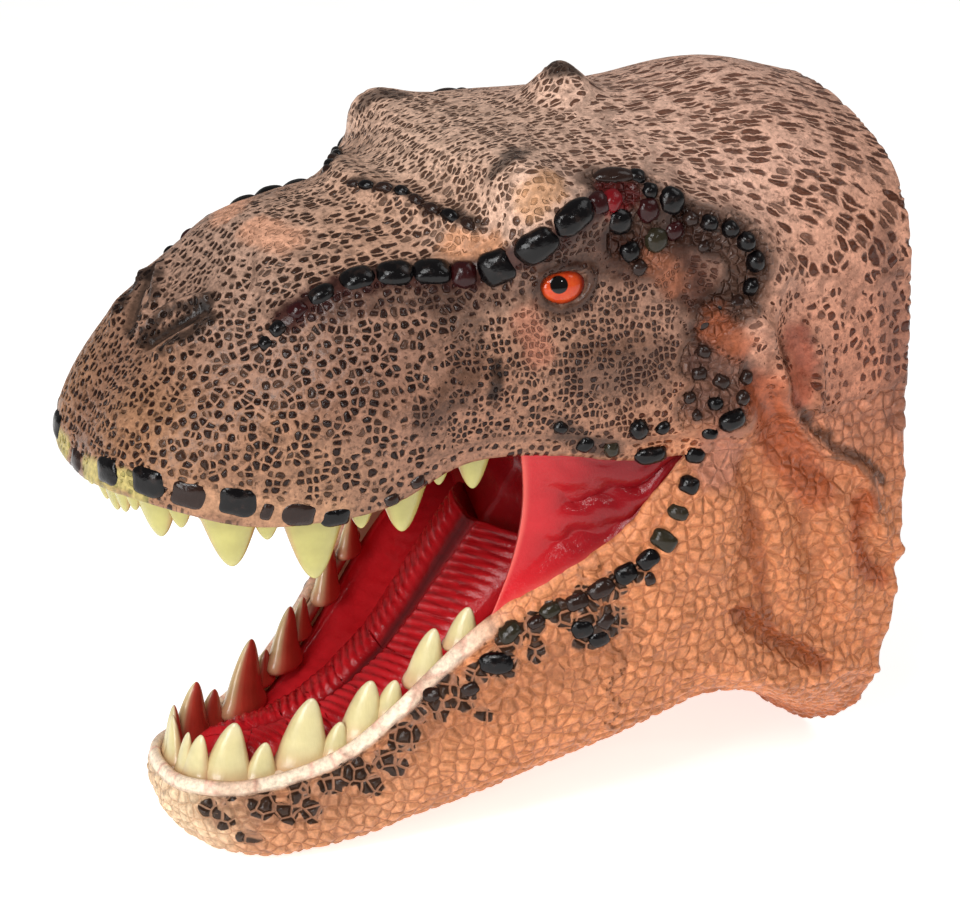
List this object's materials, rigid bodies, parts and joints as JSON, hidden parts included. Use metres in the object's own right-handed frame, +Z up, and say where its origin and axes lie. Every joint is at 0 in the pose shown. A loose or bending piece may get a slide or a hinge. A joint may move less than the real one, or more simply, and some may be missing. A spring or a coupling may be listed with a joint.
{
  "type": "dinosaur hand puppet",
  "caption": "Soft rubber hand puppet: the head and neck of a large meat-eating dinosaur, mouth open, hollow for a hand that opens and shuts the jaw.",
  "frame": {"origin": "on the table under the middle of the head", "axes": "+X along the snout, +Y to the animal's left, +Z up"},
  "size_m": [0.1908, 0.117, 0.1802],
  "materials": {
    "upper_skin": "soft moulded rubber with raised tan net lines over dark brown painted scales, satin",
    "lower_skin": "soft moulded rubber, orange-pink with cobbled scales and dark painted blotches, satin",
    "mouth_lining": "soft moulded rubber, glossy red paint",
    "teeth": "soft moulded rubber, yellow-cream paint with pink roots, satin gloss",
    "eyes": "orange with a black pupil, high gloss"
  },
  "bodies": {
    "head": {"head_skin": "upper_skin", "neck_skin": "lower_skin", "throat_skin": "lower_skin", "palate_lining": "mouth_lining", "throat_wall": "mouth_lining", "cheek_web_left": "mouth_lining", "cheek_web_right": "mouth_lining", "upper_teeth": "teeth", "left_eye": "eyes", "right_eye": "eyes"},
    "jaw": {"jaw_skin": "lower_skin", "mouth_floor": "mouth_lining", "tongue": "mouth_lining", "lower_teeth": "teeth"}
  },
  "joints": [
    {"name": "jaw_hinge", "type": "hinge", "parent": "head", "child": "jaw", "pos_m": [-0.036, 0, 0.097], "axis": [0, -1, 0], "range_deg": [-6, 29], "stiffness_Nm_per_rad": 5, "deforming": ["throat_skin", "throat_wall", "cheek_web_left", "cheek_web_right"]}
  ]
}
